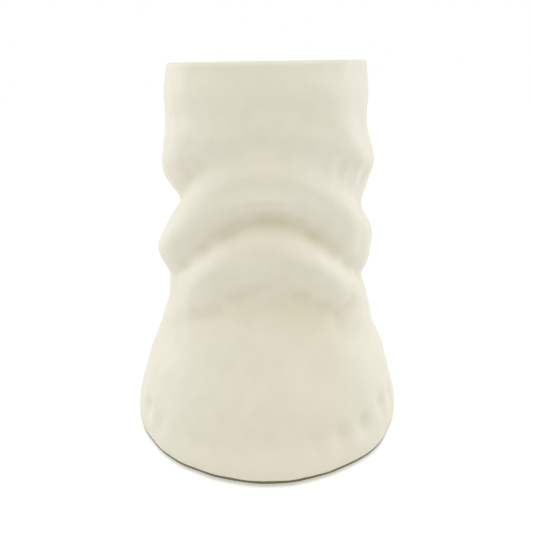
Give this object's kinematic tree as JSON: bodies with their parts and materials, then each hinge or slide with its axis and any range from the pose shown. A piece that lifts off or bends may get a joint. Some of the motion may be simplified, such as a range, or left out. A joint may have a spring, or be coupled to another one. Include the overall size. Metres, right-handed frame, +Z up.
{
  "type": "flower vase",
  "caption": "Hand-built stoneware flower vase with a flared foot, arched finger-pressed folds and a plain straight neck, in matte off-white glaze.",
  "frame": {"origin": "middle of the flat underside of the base slab, on the surface that the vase stands on", "axes": "+Z up out of the mouth, -Y towards the front, +X towards the right as seen from the front"},
  "size_m": [0.1666, 0.1666, 0.21],
  "materials": {
    "matte_glaze": "matte",
    "bare_clay": "matte"
  },
  "bodies": {
    "root": {"base_slab": "bare_clay", "base_joint_coil": "matte_glaze", "skirt": "matte_glaze", "lower_fold": "matte_glaze", "middle_roll": "matte_glaze", "neck": "matte_glaze"}
  },
  "joints": []
}
